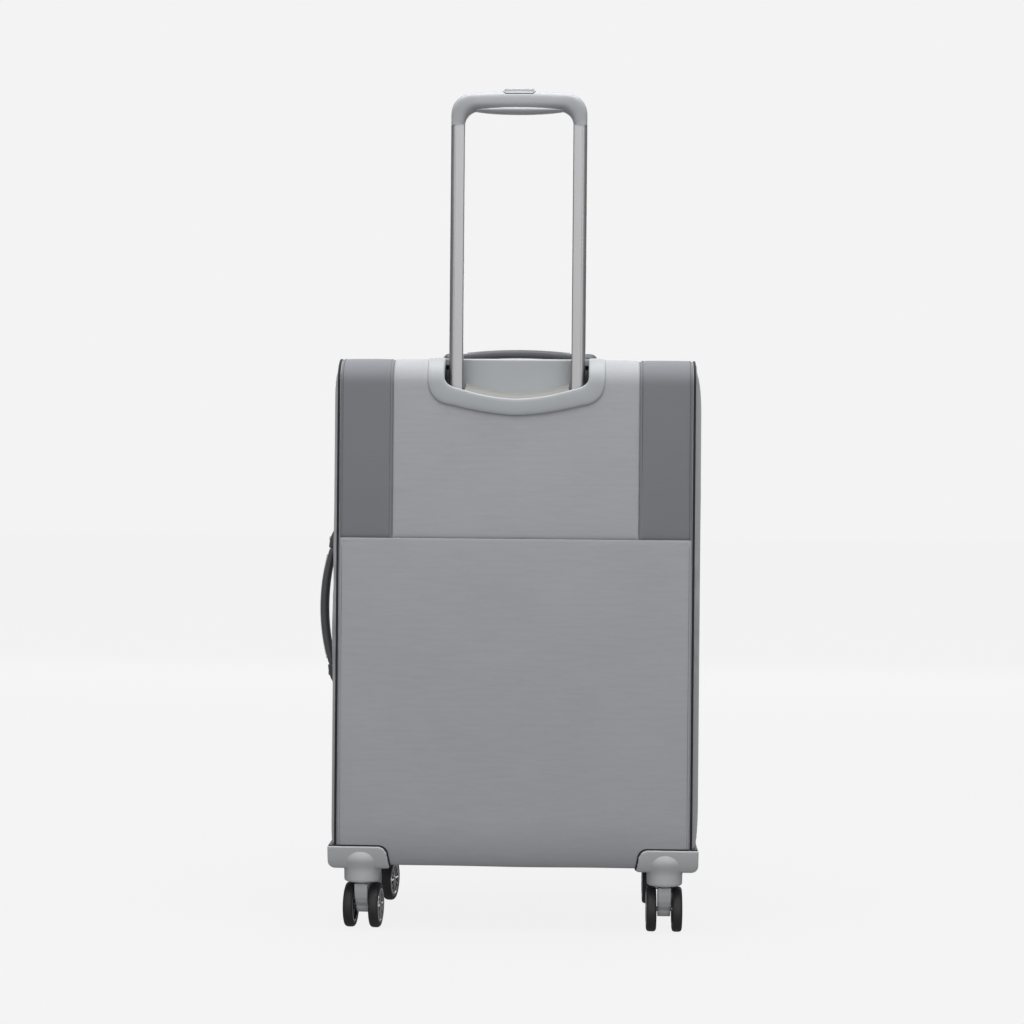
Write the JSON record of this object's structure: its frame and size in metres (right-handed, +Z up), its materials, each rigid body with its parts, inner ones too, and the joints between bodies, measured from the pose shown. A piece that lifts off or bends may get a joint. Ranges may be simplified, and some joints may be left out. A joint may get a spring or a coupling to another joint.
{
  "type": "softside upright suitcase",
  "caption": "Softside upright suitcase with twin-wheel casters, a telescopic handle with a release button, carry handles and a zipped lid with pockets.",
  "frame": {"origin": "on the floor, under the middle of the whole outline at rest, side carry handle included", "axes": "+Z up, -Y towards the back with the telescopic handle, +Y towards the zipped lid, -X towards the side carry handle"},
  "size_m": [0.4746, 0.281, 1.0125],
  "materials": {
    "light_fabric": "woven polyester, fine cross ribs, light grey",
    "dark_fabric": "woven polyester, darker grey",
    "board": "plain moulded board",
    "lining": "smooth woven lining",
    "grey_plastic": "fine moulded texture",
    "grip_plastic": "satin",
    "dark_plastic": "fine moulded texture",
    "handle_rubber": "soft, satin",
    "tube_aluminium": "satin anodised, brushed along its length",
    "steel": "plain drawn",
    "zip_tape": "ribbed tape with coil teeth",
    "zip_metal": "satin gunmetal",
    "wheel_tyre": "smooth"
  },
  "bodies": {
    "case": {"frame_shell": "board", "back_panel_lower": "light_fabric", "back_panel_centre": "light_fabric", "back_panel_dark_left": "dark_fabric", "back_panel_dark_right": "dark_fabric", "piping_left": "dark_fabric", "piping_right": "dark_fabric", "side_gusset_left": "light_fabric", "side_gusset_right": "light_fabric", "trolley_bezel": "grey_plastic", "trolley_pocket": "grey_plastic", "outer_tube_left": "tube_aluminium", "outer_tube_right": "tube_aluminium", "trolley_foot": "dark_plastic", "back_lining": "lining", "top_handle_cap_left": "dark_plastic", "top_handle_cap_right": "dark_plastic", "side_handle_cap_lower": "dark_plastic", "side_handle_cap_upper": "dark_plastic", "zip_tape_case": "zip_tape", "corner_guard_rear_left": "grey_plastic", "corner_guard_rear_right": "grey_plastic", "corner_guard_front_left": "grey_plastic", "corner_guard_front_right": "grey_plastic"},
    "trolley": {"inner_tube_left": "tube_aluminium", "inner_tube_right": "tube_aluminium", "grip": "grip_plastic", "grip_insert": "grey_plastic", "button_spring": "steel"},
    "button": {"release_button": "grip_plastic", "push_rod_left": "tube_aluminium", "push_rod_right": "tube_aluminium"},
    "pin_left": {"lock_pin_left": "steel"},
    "pin_right": {"lock_pin_right": "steel"},
    "top_handle": {"top_handle_grip": "handle_rubber"},
    "side_handle": {"side_handle_grip": "handle_rubber"},
    "lid": {"lid_shell": "light_fabric", "zip_tape_lid": "zip_tape", "front_pocket_lower": "light_fabric", "front_pocket_upper": "light_fabric"},
    "slider_left": {"zip_slider_left": "zip_metal"},
    "slider_right": {"zip_slider_right": "zip_metal"},
    "pull_left": {"zip_pull_left": "zip_metal"},
    "pull_right": {"zip_pull_right": "zip_metal"},
    "caster_rear_left": {"fork_rear_left": "grey_plastic", "axle_rear_left": "steel"},
    "wheel_rear_left_a": {"wheel_rear_left_a": "wheel_tyre"},
    "wheel_rear_left_b": {"wheel_rear_left_b": "wheel_tyre"},
    "caster_rear_right": {"fork_rear_right": "grey_plastic", "axle_rear_right": "steel"},
    "wheel_rear_right_a": {"wheel_rear_right_a": "wheel_tyre"},
    "wheel_rear_right_b": {"wheel_rear_right_b": "wheel_tyre"},
    "caster_front_left": {"fork_front_left": "grey_plastic", "axle_front_left": "steel"},
    "wheel_front_left_a": {"wheel_front_left_a": "wheel_tyre"},
    "wheel_front_left_b": {"wheel_front_left_b": "wheel_tyre"},
    "caster_front_right": {"fork_front_right": "grey_plastic", "axle_front_right": "steel"},
    "wheel_front_right_a": {"wheel_front_right_a": "wheel_tyre"},
    "wheel_front_right_b": {"wheel_front_right_b": "wheel_tyre"}
  },
  "joints": [
    {"name": "trolley_slide", "type": "slide", "parent": "case", "child": "trolley", "axis": [0, 0, 1], "range_m": [-0.313, 0]},
    {"name": "button_press", "type": "slide", "parent": "trolley", "child": "button", "axis": [0, 0, -1], "range_m": [0, 0.004], "stiffness_N_per_m": 500, "springref_m": -0.003, "deforming": ["button_spring"]},
    {"name": "pin_left_slide", "type": "slide", "parent": "trolley", "child": "pin_left", "axis": [1, 0, 0], "range_m": [0, 0.003]},
    {"name": "pin_right_slide", "type": "slide", "parent": "trolley", "child": "pin_right", "axis": [-1, 0, 0], "range_m": [0, 0.003]},
    {"name": "top_handle_lift", "type": "slide", "parent": "case", "child": "top_handle", "axis": [0, 0, 1], "range_m": [0, 0.012], "stiffness_N_per_m": 400},
    {"name": "side_handle_pull", "type": "slide", "parent": "case", "child": "side_handle", "axis": [-1, 0, 0], "range_m": [0, 0.012], "stiffness_N_per_m": 400},
    {"name": "lid_hinge", "type": "hinge", "parent": "case", "child": "lid", "pos_m": [0.22825, 0.0955, 0.385], "axis": [0, 0, -1], "range_deg": [0, 165]},
    {"name": "slider_left_run", "type": "slide", "parent": "case", "child": "slider_left", "axis": [1, 0, 0], "range_m": [-0.18, 0]},
    {"name": "slider_right_run", "type": "slide", "parent": "case", "child": "slider_right", "axis": [1, 0, 0], "range_m": [0, 0.18]},
    {"name": "pull_left_flip", "type": "hinge", "parent": "slider_left", "child": "pull_left", "pos_m": [-0.00375, 0.0955, 0.69045], "axis": [-1, 0, 0], "range_deg": [0, 165]},
    {"name": "pull_right_flip", "type": "hinge", "parent": "slider_right", "child": "pull_right", "pos_m": [0.02425, 0.0955, 0.69045], "axis": [-1, 0, 0], "range_deg": [0, 165]},
    {"name": "caster_rear_left_swivel", "type": "hinge", "parent": "case", "child": "caster_rear_left", "pos_m": [-0.17175, -0.114, 0.056], "axis": [0, 0, 1], "continuous": true},
    {"name": "wheel_rear_left_a_roll", "type": "hinge", "parent": "caster_rear_left", "child": "wheel_rear_left_a", "pos_m": [-0.17084, -0.10103, 0.027], "axis": [0.9976, -0.0698, 0], "continuous": true},
    {"name": "wheel_rear_left_b_roll", "type": "hinge", "parent": "caster_rear_left", "child": "wheel_rear_left_b", "pos_m": [-0.17084, -0.10103, 0.027], "axis": [0.9976, -0.0698, 0], "continuous": true},
    {"name": "caster_rear_right_swivel", "type": "hinge", "parent": "case", "child": "caster_rear_right", "pos_m": [0.19225, -0.114, 0.056], "axis": [0, 0, 1], "continuous": true},
    {"name": "wheel_rear_right_a_roll", "type": "hinge", "parent": "caster_rear_right", "child": "wheel_rear_right_a", "pos_m": [0.19225, -0.101, 0.027], "axis": [1, 0, 0], "continuous": true},
    {"name": "wheel_rear_right_b_roll", "type": "hinge", "parent": "caster_rear_right", "child": "wheel_rear_right_b", "pos_m": [0.19225, -0.101, 0.027], "axis": [1, 0, 0], "continuous": true},
    {"name": "caster_front_left_swivel", "type": "hinge", "parent": "case", "child": "caster_front_left", "pos_m": [-0.17175, 0.068, 0.056], "axis": [0, 0, 1], "continuous": true},
    {"name": "wheel_front_left_a_roll", "type": "hinge", "parent": "caster_front_left", "child": "wheel_front_left_a", "pos_m": [-0.16972, 0.08084, 0.027], "axis": [0.9877, -0.1564, 0], "continuous": true},
    {"name": "wheel_front_left_b_roll", "type": "hinge", "parent": "caster_front_left", "child": "wheel_front_left_b", "pos_m": [-0.16972, 0.08084, 0.027], "axis": [0.9877, -0.1564, 0], "continuous": true},
    {"name": "caster_front_right_swivel", "type": "hinge", "parent": "case", "child": "caster_front_right", "pos_m": [0.19225, 0.068, 0.056], "axis": [0, 0, 1], "continuous": true},
    {"name": "wheel_front_right_a_roll", "type": "hinge", "parent": "caster_front_right", "child": "wheel_front_right_a", "pos_m": [0.19225, 0.081, 0.027], "axis": [1, 0, 0], "continuous": true},
    {"name": "wheel_front_right_b_roll", "type": "hinge", "parent": "caster_front_right", "child": "wheel_front_right_b", "pos_m": [0.19225, 0.081, 0.027], "axis": [1, 0, 0], "continuous": true}
  ],
  "couplings": [
    {"joint": "pin_left_slide", "follows": "button_press", "ratio": 0.75},
    {"joint": "pin_right_slide", "follows": "button_press", "ratio": 0.75}
  ]
}
